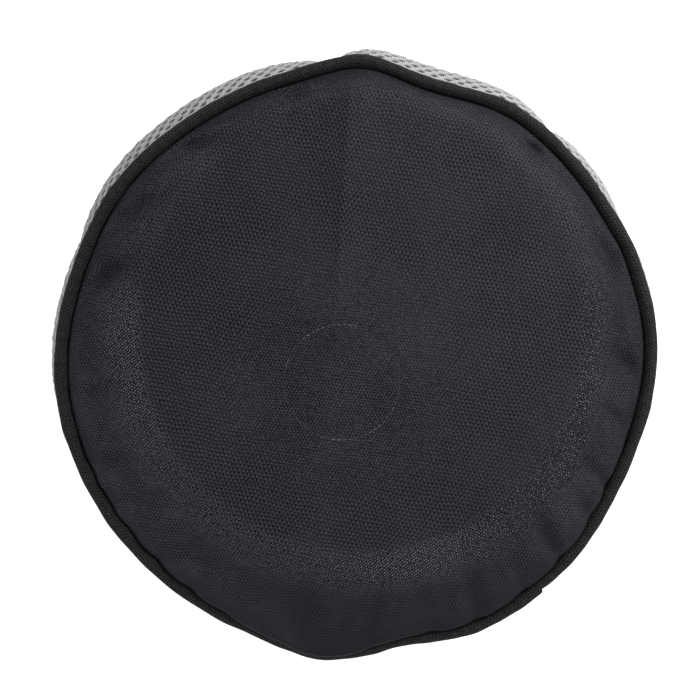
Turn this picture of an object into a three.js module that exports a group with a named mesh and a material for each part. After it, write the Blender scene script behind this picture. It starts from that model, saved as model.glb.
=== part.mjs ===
import * as THREE from 'three';

// A pillbox kufi standing on its rim, in millimetres. +Z is up, +Y points to the seam at its back,
// and the origin lies on the surface that it stands on, under the middle of the hat.
// Angles are in degrees, counter-clockwise from +X as seen from above.

// The whole hat
const HEIGHT = 82; // from the rim to the flat of the crown
const SEAM_RADIUS = 91.9; // mean radius over the piping
const SEAM_CENTRE = { x: 0.3, y: -1.3 }; // the point that the angles turn about
const SEAM_HEIGHT = 75; // middle of the piping, at the back and the sides
const GAP = 0.3; // left between pieces that a seam holds together

// Wall thicknesses
const CROWN_WALL = 1.2; // two layers of mesh cloth
const BAND_WALL = 2.6; // spacer mesh
const HEM_WALL = 4.6; // the same cloth turned up inside the rim
const PIPING_RADIUS = 2.1;

// The flat disc in the crown, and the slope round it
const FLAT_RADIUS = 68.8;
const FLAT_CENTRE = { x: 2.8, y: 7.1 };
const SLOPE_WIDTH = 12;
const SLOPE_DROP = 2.6;

// The ridge left by folding the hat in half, from the back corner towards the front one
const RIDGE = { x: -5.6, lean: 0.062, high: 1.2, width: 7, end: 10, fade: 30 };

// The side band
const TUCK = 0.9; // its top edge lies this far inside the piping's outer edge
const PUFF_DEPTH = 12; // a puff is widest this far below the band's top edge
const RIM_RADIUS = 92.6;
const EDGE_ROUNDING = 0.6;

// Steps round the hat and round the piping. One step falls on the seam at the back.
const STEPS_ROUND = 96;
const BACK_SEAM_ANGLE = 94.5;
const PIPING_SIDES = 8;

// How far the crown seam lies outside its mean radius, a row for each corner or dent
const SEAM_CORNERS = [
  { at: 4, by: 2.7, width: 14 },
  { at: 22, by: 0.6, width: 3.5 },
  { at: 44, by: 0.9, width: 12 },
  { at: 57, by: 0.8, width: 6 },
  { at: 74, by: -2.0, width: 8 },
  { at: 88, by: 2.7, width: 6 },
  { at: 120, by: -1.6, width: 18 },
  { at: 144, by: 0.5, width: 9 },
  { at: 160, by: -0.6, width: 9 },
  { at: 188, by: 1.0, width: 12 },
  { at: 236, by: -0.4, width: 14 },
  { at: 264, by: 2.7, width: 6.5 },
  { at: 281, by: -1.2, width: 5 },
  { at: 297.5, by: 2.0, width: 8.5 },
  { at: 317, by: 1.2, width: 8 },
];

// How much of the piping shows beside the crown, as a mean and a row for each change.
// At the front the crown's edge hangs over it.
const PIPING_SHOWN = 4.5;
const PIPING_SHOWN_CHANGES = [
  { at: 150, by: 0.4, width: 25 },
  { at: 205, by: -0.4, width: 14 },
  { at: 238, by: -0.6, width: 12 },
  { at: 262, by: -3.2, width: 14 },
  { at: 290, by: -0.6, width: 10 },
  { at: 318, by: -1.0, width: 14 },
];

// How far the seam rolls down under the crown's edge
const SEAM_ROLL = [{ at: 262, by: 1.8, width: 42 }];

// The ends of the piping lap over each other here
const PIPING_JOIN = { at: 307.8, by: 0.25, width: 2.6 };

// Puffs of the side band beside the piping: each starts and ends in a crease
const PUFFS = [
  { from: 5, peak: 14, to: 24, out: 1.2 },
  { from: 27, peak: 41, to: 49.5, out: 3.0 },
  { from: 49, peak: 72, to: 93, out: 4.5 },
  { from: 96, peak: 112, to: 160, out: 4.6 },
  { from: 152, peak: 167, to: 190, out: 2.2 },
];

// Long shallow folds of the side band, deepest half way up
const BAND_FOLDS = [
  { at: 20, by: 1.0, width: 16 },
  { at: 52, by: -0.9, width: 9 },
  { at: 94.5, by: -1.2, width: 6 },
  { at: 130, by: 0.9, width: 16 },
  { at: 163, by: -0.9, width: 9 },
  { at: 205, by: 1.1, width: 15 },
  { at: 238, by: -1.1, width: 10 },
  { at: 268, by: 1.3, width: 13 },
  { at: 302, by: -1.0, width: 9 },
  { at: 334, by: 0.9, width: 14 },
];

// Puckers of the crown between the flat disc and the piping, by how much each lowers it
const PUCKERS = [
  { at: 21, by: 1.8, width: 4 },
  { at: 48.5, by: 2.0, width: 2.6 },
  { at: 66, by: 0.8, width: 3 },
  { at: 103.5, by: 1.2, width: 3.5 },
  { at: 129.5, by: 1.7, width: 3 },
  { at: 148.5, by: 1.9, width: 3.2 },
  { at: 164, by: 2.1, width: 3 },
  { at: 190.5, by: 1.5, width: 3 },
  { at: 204, by: 1.5, width: 3 },
  { at: 213, by: 1.2, width: 2.6 },
  { at: 234, by: 1.8, width: 3.5 },
  { at: 258, by: 1.0, width: 4 },
  { at: 287, by: 1.2, width: 3.5 },
  { at: 297, by: 1.0, width: 3 },
  { at: 319.5, by: -1.1, width: 3 },
  { at: 334, by: 1.1, width: 3 },
  { at: 356.5, by: 1.8, width: 3.5 },
];

// Rings of the crown: share of the flat disc's radius, then share of the way on to the piping
const FLAT_RINGS = [0, 0.35, 0.7, 0.93, 1];
const OUTER_RINGS = [0.09, 0.2, 0.36, 0.56, 0.78, 0.93, 1];

// Levels of the side band on its outer and inner face and in its hem, as shares of its height
// from the top edge
const OUTER_LEVELS = [0.01, 0.04, 0.08, 0.12, 0.17, 0.34, 0.6, 0.985];
const INNER_LEVELS = [0.012, 0.08, 0.17, 0.4, 0.78];
const HEM_LEVELS = [0.795, 0.985];

/** 0 below start, 1 above end, and a smooth rise between them. */
function rise(value, start, end) {
  return THREE.MathUtils.smoothstep(value, start, end);
}

/** The value at an angle of a row that is greatest at its own angle and fades to both sides. */
function bell(angle, { at, by, width }) {
  const away = ((angle - at + 540) % 360) - 180;
  return by * Math.exp(-0.5 * (away / width) ** 2);
}

/** The rows of a table added up at an angle. */
function added(rows, angle) {
  return rows.reduce((sum, row) => sum + bell(angle, row), 0);
}

/** The piping's outer edge, from the point that the angles turn about. */
function seamRadius(angle) {
  return SEAM_RADIUS + added(SEAM_CORNERS, angle);
}

/** The middle of the piping, above the surface that the hat stands on. */
function seamHeight(angle) {
  return SEAM_HEIGHT - added(SEAM_ROLL, angle);
}

/** The plan point at a radius and angle. */
function around(radius, angle, centre = SEAM_CENTRE) {
  const turn = THREE.MathUtils.degToRad(angle);
  return new THREE.Vector2(centre.x + radius * Math.cos(turn), centre.y + radius * Math.sin(turn));
}

/**
 * A closed body round the hat. The profile is in places of its own, and place(across, up, angle)
 * gives the real point for one of them. It goes up the outside and down the inside.
 */
function bodyRound(profile, place) {
  const geometry = new THREE.LatheGeometry(profile, STEPS_ROUND);
  const position = geometry.attributes.position;
  const step = 360 / STEPS_ROUND;
  for (let i = 0; i < position.count; i += 1) {
    const { x, y } = profile[i % profile.length];
    const column = Math.floor(i / profile.length) % STEPS_ROUND;
    const point = place(x, y, BACK_SEAM_ANGLE + column * step);
    position.setXYZ(i, point.x, point.y, point.z);
  }
  geometry.computeVertexNormals();
  return geometry;
}

/** How far the ridge of the old fold lifts the crown. */
function ridgeHeight(x, y) {
  const away = x - (RIDGE.x + RIDGE.lean * y);
  const along = rise(y, RIDGE.end - RIDGE.fade, RIDGE.end + RIDGE.fade);
  return RIDGE.high * along * Math.exp(-Math.abs(away) / RIDGE.width);
}

/** How far the puckers lower the crown, strongest nearer the piping than the flat disc. */
function puckerDepth(angle, outward) {
  return added(PUCKERS, angle) * Math.sin(Math.PI * outward ** 1.7) ** 2;
}

/**
 * A point of the crown. A ring of 0 to 1 lies in the flat disc, and 1 to 2 on the way to the
 * piping, whose side the crown's edge touches. The side is -1 on the underside and 1 on top.
 */
function crownPoint(ring, side, angle) {
  const flatEdge = around(FLAT_RADIUS * Math.min(ring, 1), angle, FLAT_CENTRE);
  const outward = Math.max(ring - 1, 0);
  const shown = PIPING_SHOWN + added(PIPING_SHOWN_CHANGES, angle);
  const plan = flatEdge.lerp(around(seamRadius(angle) - shown, angle), outward);

  const fromFlat = plan.distanceTo(new THREE.Vector2(FLAT_CENTRE.x, FLAT_CENTRE.y)) - FLAT_RADIUS;
  const reach = PIPING_RADIUS + GAP + bell(angle, PIPING_JOIN);
  const beside = Math.min(Math.abs(shown - PIPING_RADIUS), reach);
  const edge = seamHeight(angle) + Math.sqrt(reach ** 2 - beside ** 2) + CROWN_WALL;
  const shoulder = HEIGHT - SLOPE_DROP * rise(fromFlat, -1, SLOPE_WIDTH);
  const top = THREE.MathUtils.lerp(shoulder, edge, outward ** 3);
  const height = top + ridgeHeight(plan.x, plan.y) * (1 - outward ** 4) - puckerDepth(angle, outward);
  return new THREE.Vector3(plan.x, plan.y, side > 0 ? height : height - CROWN_WALL);
}

/** A point of the piping, a tube whose section is given about its own middle and whose join swells. */
function pipingPoint(across, up, angle) {
  const swell = 1 + bell(angle, PIPING_JOIN) / PIPING_RADIUS;
  const plan = around(seamRadius(angle) - PIPING_RADIUS + across * (across > 0 ? swell : 1), angle);
  return new THREE.Vector3(plan.x, plan.y, seamHeight(angle) + up * (up > 0 ? swell : 1));
}

/** How far a puff stands out beyond the piping, as two quarter-ellipses that meet at its peak. */
function puffOut(angle) {
  const turn = angle % 360;
  const row = PUFFS.find(({ from, to }) => turn > from && turn < to);
  if (!row) {
    return 0;
  }
  const end = turn < row.peak ? row.from : row.to;
  return row.out * Math.sqrt(1 - ((turn - row.peak) / (end - row.peak)) ** 2);
}

/** The outer face of the side band at a depth below its top edge. */
function bandRadius(angle, down, tall) {
  const quarter = (Math.PI / 2) * Math.min(down / PUFF_DEPTH, 1);
  const shoulder = seamRadius(angle) - TUCK + (TUCK + puffOut(angle)) * Math.sin(quarter);
  const wall = THREE.MathUtils.lerp(shoulder, RIM_RADIUS, rise(down, PUFF_DEPTH, tall));
  return wall + added(BAND_FOLDS, angle) * Math.sin((Math.PI * down) / tall) ** 2;
}

/** A point of the side band, from how deep it lies in the wall and its share of the way to the rim. */
function bandPoint(inward, share, angle) {
  const tall = seamHeight(angle) - PIPING_RADIUS - GAP;
  const plan = around(bandRadius(angle, share * tall, tall) - inward, angle);
  return new THREE.Vector3(plan.x, plan.y, tall * (1 - share));
}

function crown() {
  const rings = [...FLAT_RINGS, ...OUTER_RINGS.map((share) => 1 + share)];
  const underside = rings.map((ring) => new THREE.Vector2(ring, -1));
  const top = rings.map((ring) => new THREE.Vector2(ring, 1)).reverse();
  return bodyRound([...underside, ...top], crownPoint);
}

function crownPiping() {
  const corners = [...Array(PIPING_SIDES).keys(), 0];
  const section = corners.map((corner) => {
    const turn = (corner * 2 * Math.PI) / PIPING_SIDES;
    return new THREE.Vector2(PIPING_RADIUS * Math.sin(turn), -PIPING_RADIUS * Math.cos(turn));
  });
  return bodyRound(section, pipingPoint);
}

function sideBand() {
  const outside = OUTER_LEVELS.map((share) => new THREE.Vector2(0, share)).reverse();
  const inside = INNER_LEVELS.map((share) => new THREE.Vector2(BAND_WALL, share));
  const hem = HEM_LEVELS.map((share) => new THREE.Vector2(HEM_WALL, share));
  const rimOutside = new THREE.Vector2(EDGE_ROUNDING, 1);
  const profile = [
    rimOutside,
    ...outside,
    new THREE.Vector2(EDGE_ROUNDING, 0),
    new THREE.Vector2(BAND_WALL - EDGE_ROUNDING, 0),
    ...inside,
    ...hem,
    new THREE.Vector2(HEM_WALL - EDGE_ROUNDING, 1),
    rimOutside,
  ];
  return bodyRound(profile, bandPoint);
}

const blackMesh = new THREE.MeshStandardMaterial({ color: 0x2a2b2e, roughness: 0.8, metalness: 0 });
const blackPiping = new THREE.MeshStandardMaterial({ color: 0x1e1f1f, roughness: 0.85, metalness: 0 });
const greyMesh = new THREE.MeshStandardMaterial({ color: 0xb7b5b7, roughness: 0.9, metalness: 0 });

function piece(name, geometry, material) {
  const mesh = new THREE.Mesh(geometry, material);
  mesh.name = name;
  return mesh;
}

const kufi = new THREE.Group();
kufi.add(piece('crown', crown(), blackMesh));
kufi.add(piece('crown_piping', crownPiping(), blackPiping));
kufi.add(piece('side_band', sideBand(), greyMesh));

export default kufi;
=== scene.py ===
"""A pillbox kufi in mesh cloth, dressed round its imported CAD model.

Lengths are worked out in millimetres and become metres when a mesh is made. +Z is up and +Y
points to the seam at the back. Angles are in degrees, counter-clockwise from +X seen from above.
"""

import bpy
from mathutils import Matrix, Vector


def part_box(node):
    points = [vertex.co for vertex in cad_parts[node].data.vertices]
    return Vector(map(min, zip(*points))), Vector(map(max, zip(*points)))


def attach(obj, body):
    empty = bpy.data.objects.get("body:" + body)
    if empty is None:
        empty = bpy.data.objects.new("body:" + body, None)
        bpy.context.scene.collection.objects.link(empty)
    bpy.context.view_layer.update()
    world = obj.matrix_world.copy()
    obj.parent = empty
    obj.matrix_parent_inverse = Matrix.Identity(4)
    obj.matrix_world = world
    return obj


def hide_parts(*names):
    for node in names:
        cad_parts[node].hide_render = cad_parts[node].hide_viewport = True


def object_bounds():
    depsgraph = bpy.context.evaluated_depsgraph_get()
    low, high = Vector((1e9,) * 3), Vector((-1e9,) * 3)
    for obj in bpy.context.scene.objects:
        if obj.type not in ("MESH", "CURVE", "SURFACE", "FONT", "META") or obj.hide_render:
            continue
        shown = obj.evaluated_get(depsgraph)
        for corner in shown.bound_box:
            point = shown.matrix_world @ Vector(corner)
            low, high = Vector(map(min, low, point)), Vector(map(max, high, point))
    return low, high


bl_info = {
    "name": "Mesh cloth kufi",
    "version": (1, 0, 0),
    "blender": (4, 5, 0),
    "location": "3D View > Sidebar > Kufi",
    "description": "Makes a pillbox kufi with a mesh crown, a piped seam and a spacer mesh band",
    "category": "Add Mesh",
}

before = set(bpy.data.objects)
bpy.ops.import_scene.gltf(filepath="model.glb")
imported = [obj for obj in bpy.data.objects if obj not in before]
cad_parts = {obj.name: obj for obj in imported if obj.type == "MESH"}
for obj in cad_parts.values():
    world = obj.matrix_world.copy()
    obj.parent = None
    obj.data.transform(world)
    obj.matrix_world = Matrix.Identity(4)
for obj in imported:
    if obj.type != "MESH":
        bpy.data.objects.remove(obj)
CAD_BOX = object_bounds()

from collections import namedtuple

import bpy
import numpy as np
from bpy.props import FloatProperty, FloatVectorProperty, PointerProperty

MM = 0.001

# The seam round the crown, as in the CAD model
SEAM_CENTRE = np.array([0.3, -1.3])  # the point that the angles turn about
SEAM_RADIUS = 91.9  # mean radius over the piping
SEAM_HEIGHT = 75.0  # middle of the piping, at the back and the sides
SEAM_GAP = 0.3  # between the piping and the band
PIPING_RADIUS = 2.1
BACK_SEAM_ANGLE = 94.5

# The crown
FOLD_TOP = 1.1  # the top of the CAD crown's old fold, above its flat disc
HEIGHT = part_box("crown")[1].z / MM - FOLD_TOP  # of the flat disc
FLAT_CENTRE = np.array([2.8, 7.1])
FLAT_RADIUS = 68.8
SLOPE_WIDTH = 12.0
SLOPE_DROP = 2.6
CREASE_FADE = 12.0
GATHER_PULL = 0.7  # a gather draws the crown's edge in by this much of its depth
EDGE_BEND = 1.1  # radius of the bend at the crown's edge
WIDER_BEND = 0.4  # added to it where all of the piping shows
SEAM_ALLOWANCE = 5.0
ALLOWANCE_LEAN = 0.8
SEAM_SLIT = 0.12  # between the piping and the cloth that hugs it
HUG_END = 145  # degrees round the piping, from its top, as far as the cloth hugs it

# The side band
BAND_WALL = 2.6
HEM_WALL = 4.6
HEM_HEIGHT = 15.0
TUCK = 0.9  # its top edge lies this far inside the piping's outer edge
PUFF_DEPTH = 12.0  # a puff is widest this far below the band's top edge
RIM_RADIUS = 92.6
RIM_ROUNDING = 1.8
FACE_DEPTH = 1.4  # the inner layer starts this far inside the band's face
HEM_STITCH_DROP = 2.0  # the hem's stitches lie this far below its top edge
HEM_STITCH_DENT = 0.5
HEM_DENT_WIDTH = 1.3
BACK_SEAM_DENT = 1.0
BACK_DENT_WIDTH = 0.45  # degrees

# The holes of the band's face
HOLE_SLANT = 22
HOLE_EDGE_DEPTH = 0.28
HOLE_FLOOR = (0.66, 0.6)  # its bottom's share of its length and of its width
HOLE_SHIFT = 0.025  # how unevenly the holes lie, in cells
CREST_ROUGHNESS = 0.1

Bell = namedtuple("Bell", "at by width")  # adds by at an angle, and fades to both sides
Puff = namedtuple("Puff", "start peak end out")  # angles, and how far it stands out
Lump = namedtuple("Lump", "x y high wide")
Wave = namedtuple("Wave", "pitch angle")  # a row of threads: its pitch, and the way across it

# A step down in the cloth: its angle at the piping, half its drop, half its width in degrees, and
# how far it leans round on the way to the flat disc. A drop above 0 goes down counter-clockwise.
Pleat = namedtuple("Pleat", "at drop width lean")

Crease = namedtuple("Crease", "at start high wide")  # an angle, a radius, and a height and width
Stitch = namedtuple("Stitch", "long thick lift")  # lift is how high its middle lies on the cloth

# The seam's bends, added to its mean radius
SEAM_CORNERS = [
    Bell(4, 2.7, 14),
    Bell(22, 0.6, 3.5),
    Bell(44, 0.9, 12),
    Bell(57, 0.8, 6),
    Bell(74, -2.0, 8),
    Bell(88, 2.7, 6),
    Bell(120, -1.6, 18),
    Bell(144, 0.5, 9),
    Bell(160, -0.6, 9),
    Bell(188, 1.0, 12),
    Bell(236, -0.4, 14),
    Bell(264, 2.7, 6.5),
    Bell(281, -1.2, 5),
    Bell(297.5, 2.0, 8.5),
    Bell(317, 1.2, 8),
]

# How much of the piping shows beside the crown: a mean, and what is added to it
PIPING_SHOWN = 4.5
PIPING_SHOWN_CHANGES = [
    Bell(150, 0.4, 25),
    Bell(205, -0.4, 14),
    Bell(238, -0.6, 12),
    Bell(262, -3.2, 14),
    Bell(290, -0.6, 10),
    Bell(318, -1.0, 14),
]

# How far the seam rolls down under the crown's edge
SEAM_ROLL = [Bell(262, 1.8, 42)]

# Where the band stands out past the piping
PUFFS = [
    Puff(5, 14, 24, 1.2),
    Puff(27, 41, 49.5, 3.0),
    Puff(49, 72, 93, 4.5),
    Puff(96, 112, 160, 4.6),
    Puff(152, 167, 190, 2.2),
]

# The band's upright folds: how far they stand out half way down
BAND_FOLDS = [
    Bell(20, 1.0, 16),
    Bell(52, -0.9, 9),
    Bell(94.5, -1.2, 6),
    Bell(130, 0.9, 16),
    Bell(163, -0.9, 9),
    Bell(205, 1.1, 15),
    Bell(238, -1.1, 10),
    Bell(268, 1.3, 13),
    Bell(302, -1.0, 9),
    Bell(334, 0.9, 14),
]

# Hollows of the crown between its flat disc and the piping
PUCKERS = [
    Bell(21, 1.8, 4),
    Bell(48.5, 2.0, 2.6),
    Bell(66, 0.8, 3),
    Bell(103.5, 1.2, 3.5),
    Bell(129.5, 1.7, 3),
    Bell(148.5, 1.9, 3.2),
    Bell(164, 2.1, 3),
    Bell(190.5, 1.5, 3),
    Bell(204, 1.5, 3),
    Bell(213, 1.2, 2.6),
    Bell(234, 1.8, 3.5),
    Bell(258, 1.0, 4),
    Bell(287, 1.2, 3.5),
    Bell(297, 1.0, 3),
    Bell(319.5, -1.1, 3),
    Bell(334, 1.1, 3),
    Bell(356.5, 1.8, 3.5),
]

# Steps that the gathered cloth makes between the flat disc and the piping
PLEATS = [
    Pleat(24, -0.8, 3.0, -6),
    Pleat(68, 0.5, 2.6, 0),
    Pleat(102.5, 0.9, 2.2, 0),
    Pleat(129, 1.0, 2.6, -8),
    Pleat(149, 1.1, 2.3, -10),
    Pleat(165, 1.2, 2.0, -9),
    Pleat(188, 0.8, 1.8, 3),
    Pleat(201.5, 1.1, 1.8, 10),
    Pleat(210.5, 1.0, 1.6, 10),
    Pleat(232, -1.2, 2.2, 5),
    Pleat(260, -0.8, 2.4, 0),
    Pleat(272.5, -0.5, 1.6, 7),
    Pleat(284.5, -0.6, 2.0, 0),
    Pleat(297.5, -0.4, 2.0, 0),
    Pleat(316.5, -0.65, 2.2, 2),
    Pleat(329, -0.4, 2.4, 8),
    Pleat(346.5, -0.4, 1.8, 0),
    Pleat(358.5, -0.5, 2.0, 0),
]

# Straight folds and valleys that run in from the piping, and where each one starts
CREASES = [
    Crease(34.5, 78, -0.3, 1.6),
    Crease(48.5, 62, -0.6, 1.5),
    Crease(66.5, 66, -0.35, 2.6),
    Crease(88, 70, 0.5, 3.0),
    Crease(144, 76, -0.4, 2.0),
    Crease(162, 74, -0.4, 1.6),
    Crease(234.5, 64, -0.5, 2.4),
    Crease(263.5, 76, 0.5, 0.9),
    Crease(317, 70, -0.25, 2.4),
    Crease(357, 68, -0.4, 2.0),
]

# Short creases of the crown beside the piping, which the cloth's gathering leaves
GATHERS = [
    Bell(12, 0.5, 1.6),
    Bell(30, 0.7, 1.2),
    Bell(38, 0.6, 1.3),
    Bell(48.7, 0.9, 1.0),
    Bell(64, 0.6, 1.4),
    Bell(76, 0.4, 1.6),
    Bell(101, 0.6, 1.3),
    Bell(116, 0.4, 1.3),
    Bell(127, 0.8, 1.3),
    Bell(145, 0.9, 1.3),
    Bell(153, 0.4, 1.4),
    Bell(161.5, 1.0, 1.2),
    Bell(175, 0.4, 1.4),
    Bell(188, 0.7, 1.4),
    Bell(197, 0.5, 1.6),
    Bell(203, 0.8, 1.3),
    Bell(210, 0.7, 1.4),
    Bell(218, 0.5, 1.5),
    Bell(226, 0.6, 1.5),
    Bell(235, 0.8, 1.4),
    Bell(243, 0.7, 1.6),
    Bell(256, 0.5, 1.4),
    Bell(274, 0.5, 1.5),
    Bell(286, 0.7, 1.3),
    Bell(295, 0.7, 1.4),
    Bell(306, 0.5, 1.4),
    Bell(316, 0.9, 1.2),
    Bell(326, 0.7, 1.2),
    Bell(333, 0.6, 1.4),
    Bell(346, 0.5, 1.5),
    Bell(358, 0.8, 1.4),
]

# Soft lumps that the folded seam allowance lifts in the crown
LUMPS = [
    Lump(39.7, -79.5, 0.7, 4.5),
    Lump(24.2, -83.5, 0.6, 4.0),
    Lump(-28.5, -83.0, 0.9, 4.0),
    Lump(-37.0, -78.5, 0.6, 4.0),
]

# Where round the flat disc's edge the crown gets painted glints, beside the whole of its front
GLINT_FROM = 169
GLINT_TO = 376
GLINT_FRONT = 0.55
PAINTED_GLINT_ROWS = [
    Bell(30, 0.3, 4.0),
    Bell(44, 0.2, 3.0),
    Bell(76, 0.2, 4.0),
    Bell(88, 0.25, 3.0),
    Bell(107, 0.4, 6.0),
    Bell(134, 0.5, 4.0),
    Bell(153, 0.4, 5.0),
    Bell(187, 0.5, 14.0),
    Bell(284, 0.5, 12.0),
    Bell(340, 0.3, 12.0),
]

# The old fold across the crown: a ridge line with a lean, high at the back
RIDGE_X = -5.6
RIDGE_LEAN = 0.062
RIDGE_HIGH = 1.2
RIDGE_WIDTH = 7.0
RIDGE_END = 10.0
RIDGE_FADE = 30.0
RIDGE_EDGE = 0.35  # height of the sharp fold along it
RIDGE_EDGE_WIDTH = 1.6

# The ring of stitches in the crown
RING_CENTRE = np.array([-3.2, -9.05])
RING_DENT = 0.25
RING_DENT_WIDTH = 1.2

# Glints painted on the ring's thread: how brightly it shows at each angle, beside a little everywhere
RING_GLINTS = [
    Bell(88, 0.7, 9),
    Bell(122, 1.0, 11),
    Bell(161, 0.9, 4),
    Bell(226, 0.5, 3),
    Bell(268, 0.8, 11),
    Bell(305, 1.1, 7),
    Bell(328, 0.6, 7),
    Bell(352, 0.3, 8),
]

RING_STITCH = Stitch(1.4, 0.3, 0.1)
HEM_STITCH = Stitch(2.1, 0.4, 0.12)

# The piping's ends lap here. The tucked one tapers off, and the one over it is cut blunt.
JOIN_ANGLE = 307.8
JOIN_LAP = 1.6  # degrees, to either side
TAPER = 4.0
BLUNT = 1.2
TUCKED_IN = 0.9
TUCKED_DOWN = 0.7
LAPPED_OUT = 0.45
LAPPED_UP = 0.15

# Steps of the grids
CROWN_COLUMNS = 500
DISC_RINGS = 34
SLOPE_RINGS = 38
EDGE_RINGS = 8
HUG_RINGS = 6
ALLOWANCE_RINGS = 3
PIPING_STEPS = 1300
PIPING_SIDES = 28
BAND_COLUMNS = 1064
BAND_LEVELS = 500
OUTSIDE_LEVELS = 470  # those of them above the rim's turn
BACK_COLUMNS = 532
TUCKED_STEPS = 5  # of the band's outline, inside the seam
WALL_STEPS = 150
STITCH_RINGS = 9
STITCH_SIDES = 6
HOLE_SIDES = 8

# The rows of threads of the crown's net, its finer net and its glints, and of the piping's net
MESH_WAVES = [Wave(1.13, 19), Wave(1.17, 142)]
FINE_WAVES = [Wave(0.86, 24), Wave(0.9, 146)]
GLINT_WAVES = [Wave(0.75, 10), Wave(0.78, 133)]
PIPING_WAVES = [Wave(0.95, 35), Wave(1.0, 155)]
THIRD = 2 * np.pi / 3

# The stage
PICTURE_MIDDLE = np.array([-0.6, 0.9])  # the camera stands over it
FLOOR_WIDTH = 6.0  # metres
WHITE = (1, 1, 1, 1)


# Functions of the angle

def way_round(angle, at):
    """The shorter way round from one angle to another, from -180 to 180 degrees."""
    return (angle - at + 540) % 360 - 180


def bell(angle, row):
    """by * exp(-(away / width)^2 / 2), where away is the shorter way round from the row's angle."""
    return row.by * np.exp(-0.5 * (way_round(angle, row.at) / row.width) ** 2)


def added(rows, angle):
    """The rows of a table added up at each angle."""
    return sum(bell(angle, row) for row in rows)


def rise(value, start, end):
    """0 at start, 1 at end and beyond it, and 3t^2 - 2t^3 between them."""
    t = np.clip((value - start) / (end - start), 0, 1)
    return t * t * (3 - 2 * t)


def seam_radius(angle):
    """The piping's outer edge, from the point that the angles turn about."""
    return SEAM_RADIUS + added(SEAM_CORNERS, angle)


def seam_height(angle):
    """The middle of the piping, above the floor."""
    return SEAM_HEIGHT - added(SEAM_ROLL, angle)


def turns(count):
    """Equal steps once round the hat, from the back seam."""
    return BACK_SEAM_ANGLE + np.arange(count) * 360 / count


def shares(count):
    """A column of equal steps from 0 to 1, without the 0."""
    return np.linspace(0, 1, count + 1)[1:, None]


def around(radius, angle, centre=SEAM_CENTRE):
    """centre + radius * (cos, sin) of the angle, for whole arrays."""
    turn = np.radians(angle)
    return centre + np.stack([radius * np.cos(turn), radius * np.sin(turn)], axis=-1)


def lifted(plan, height):
    """Points from their plan and their height."""
    return np.concatenate([plan, height[..., None]], axis=-1)


def puff_out(angle):
    """out * sqrt(1 - t^2) in each puff, where t goes from 0 at its peak to 1 at either end."""
    turn = angle % 360
    out = np.zeros_like(turn)
    for row in PUFFS:
        side = np.where(turn < row.peak, row.peak - row.start, row.end - row.peak)
        share = np.clip(np.abs(turn - row.peak) / side, 0, 1)
        out = np.maximum(out, row.out * np.sqrt(1 - share**2))
    return out


def waviness(x, y, seed, shortest, longest, high, count=24):
    """A sum of plane waves in seeded directions, with lengths between the shortest and the longest."""
    random = np.random.default_rng(seed)
    total = 0
    for _ in range(count):
        across = random.uniform(0, 2 * np.pi)
        length = random.uniform(shortest, longest)
        phase = random.uniform(0, 2 * np.pi)
        total = total + np.cos(2 * np.pi * (x * np.cos(across) + y * np.sin(across)) / length + phase)
    return high * total / np.sqrt(count)


# Meshes

def grid_faces(rows, columns, closed_rows=False):
    """Quads of a grid that closes round its columns, and round its rows too if asked.

    A face's corners are (row, column), (row, next), (next row, next) and (next row, column).
    """
    steps = rows if closed_rows else rows - 1
    row, column = np.meshgrid(np.arange(steps), np.arange(columns), indexing="ij")
    below = (row + 1) % rows
    beside = (column + 1) % columns
    corners = [row * columns + column, row * columns + beside,
               below * columns + beside, below * columns + column]
    return np.stack(corners, axis=-1).reshape(-1, 4)


def grid_corners(places):
    """The flat place of each corner of grid_faces, from places on one more column than the grid."""
    corners = [places[:-1, :-1], places[:-1, 1:], places[1:, 1:], places[1:, :-1]]
    return np.stack(corners, axis=2).reshape(-1, 4, 2)


def end_faces(rings, sides):
    """The two faces that close a tube's first and last rings."""
    side = np.arange(sides)
    return np.array([side[::-1], side + (rings - 1) * sides])


def make_mesh(name, points, groups):
    """A smooth mesh in metres. Each group is an array of faces and one of their corners' places."""
    mesh = bpy.data.meshes.new(name)
    faces = [face for group, _ in groups for face in group.tolist()]
    mesh.from_pydata((points * MM).tolist(), [], faces)
    layer = mesh.uv_layers.new(name="cloth")
    places = np.concatenate([corners.reshape(-1, 2) for _, corners in groups])
    layer.data.foreach_set("uv", places.astype(np.float32).ravel())
    mesh.polygons.foreach_set("use_smooth", np.ones(len(mesh.polygons), bool))
    mesh.update()
    return mesh


def set_attribute(mesh, name, values):
    """A number on each point of the mesh, for its material."""
    attribute = mesh.attributes.new(name, "FLOAT", "POINT")
    attribute.data.foreach_set("value", values.astype(np.float32))


def add_object(name, data):
    """A new object in the scene, at the origin."""
    made = bpy.data.objects.new(name, data)
    bpy.context.scene.collection.objects.link(made)
    return made


def add_piece(name, mesh, material):
    """Puts the mesh in the scene as a piece that rides on the hat."""
    piece = add_object(name, mesh)
    mesh.materials.append(material)
    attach(piece, "root")
    return piece


# Shaders

class Value:
    """A number in a material. Python's operators on it add Math nodes."""

    def __init__(self, look, socket):
        self.look = look
        self.socket = socket

    def __add__(self, other):
        return self.look.math("ADD", self, other)

    def __sub__(self, other):
        return self.look.math("SUBTRACT", self, other)

    def __rsub__(self, other):
        return self.look.math("SUBTRACT", other, self)

    def __mul__(self, other):
        return self.look.math("MULTIPLY", self, other)

    def __truediv__(self, other):
        return self.look.math("DIVIDE", self, other)

    __radd__ = __add__
    __rmul__ = __mul__


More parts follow.
